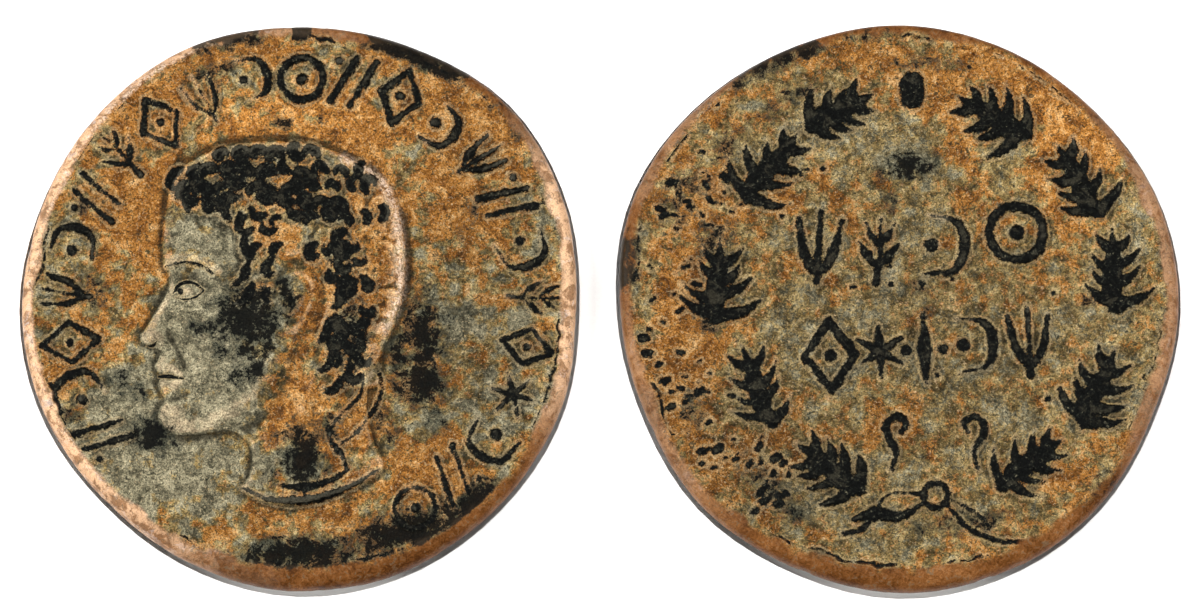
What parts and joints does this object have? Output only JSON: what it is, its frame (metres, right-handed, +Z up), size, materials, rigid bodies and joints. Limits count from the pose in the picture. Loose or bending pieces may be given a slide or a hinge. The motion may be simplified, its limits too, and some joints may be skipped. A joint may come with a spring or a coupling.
{
  "type": "coin display tray",
  "caption": "Small museum display tray: mitred wood frame, lift-out white insert with outline-cut windows, patinated bronze coins shown obverse and reverse, brass label holder.",
  "frame": {"origin": "on the resting surface, under the middle of the whole tray, label holder included", "axes": "+X to the right along the long side, +Y towards the back rail, +Z up out of the tray"},
  "size_m": [0.096, 0.0676, 0.0133],
  "materials": {
    "mahogany": "oiled satin",
    "maple": "oiled satin",
    "museum_board": "matte cotton rag board",
    "felt": "wool felt",
    "brass": "satin",
    "rubber": "matte",
    "card": "plain ivory card",
    "patinated_bronze": "ancient patina, earthy orange and sand with black relief"
  },
  "bodies": {
    "tray": {"rail_front": "mahogany", "rail_right": "mahogany", "rail_back": "mahogany", "rail_left": "mahogany", "base_board": "mahogany", "corner_key_front_left": "maple", "corner_key_front_right": "maple", "corner_key_back_right": "maple", "corner_key_back_left": "maple", "base_screw_1": "brass", "base_screw_2": "brass", "base_screw_3": "brass", "base_screw_4": "brass", "base_screw_5": "brass", "base_screw_6": "brass", "foot_front_left": "rubber", "foot_front_right": "rubber", "foot_back_right": "rubber", "foot_back_left": "rubber", "label_holder": "brass", "label_pin_left": "brass", "label_pin_right": "brass"},
    "insert": {"backing_board": "museum_board", "window_board": "museum_board", "felt_disc_obverse": "felt", "felt_disc_reverse": "felt"},
    "coin_obverse": {"coin_obverse": "patinated_bronze"},
    "coin_reverse": {"coin_reverse": "patinated_bronze"},
    "label_card": {"label_card": "card"}
  },
  "joints": [
    {"name": "insert_lift", "type": "slide", "parent": "tray", "child": "insert", "axis": [0, 0, 1], "range_m": [0, 0.015]},
    {"name": "coin_obverse_lift", "type": "slide", "parent": "insert", "child": "coin_obverse", "axis": [0, 0, 1], "range_m": [0, 0.012]},
    {"name": "coin_reverse_lift", "type": "slide", "parent": "insert", "child": "coin_reverse", "axis": [0, 0, 1], "range_m": [0, 0.012]},
    {"name": "card_slide", "type": "slide", "parent": "tray", "child": "label_card", "axis": [0, 0, 1], "range_m": [0, 0.009]}
  ]
}
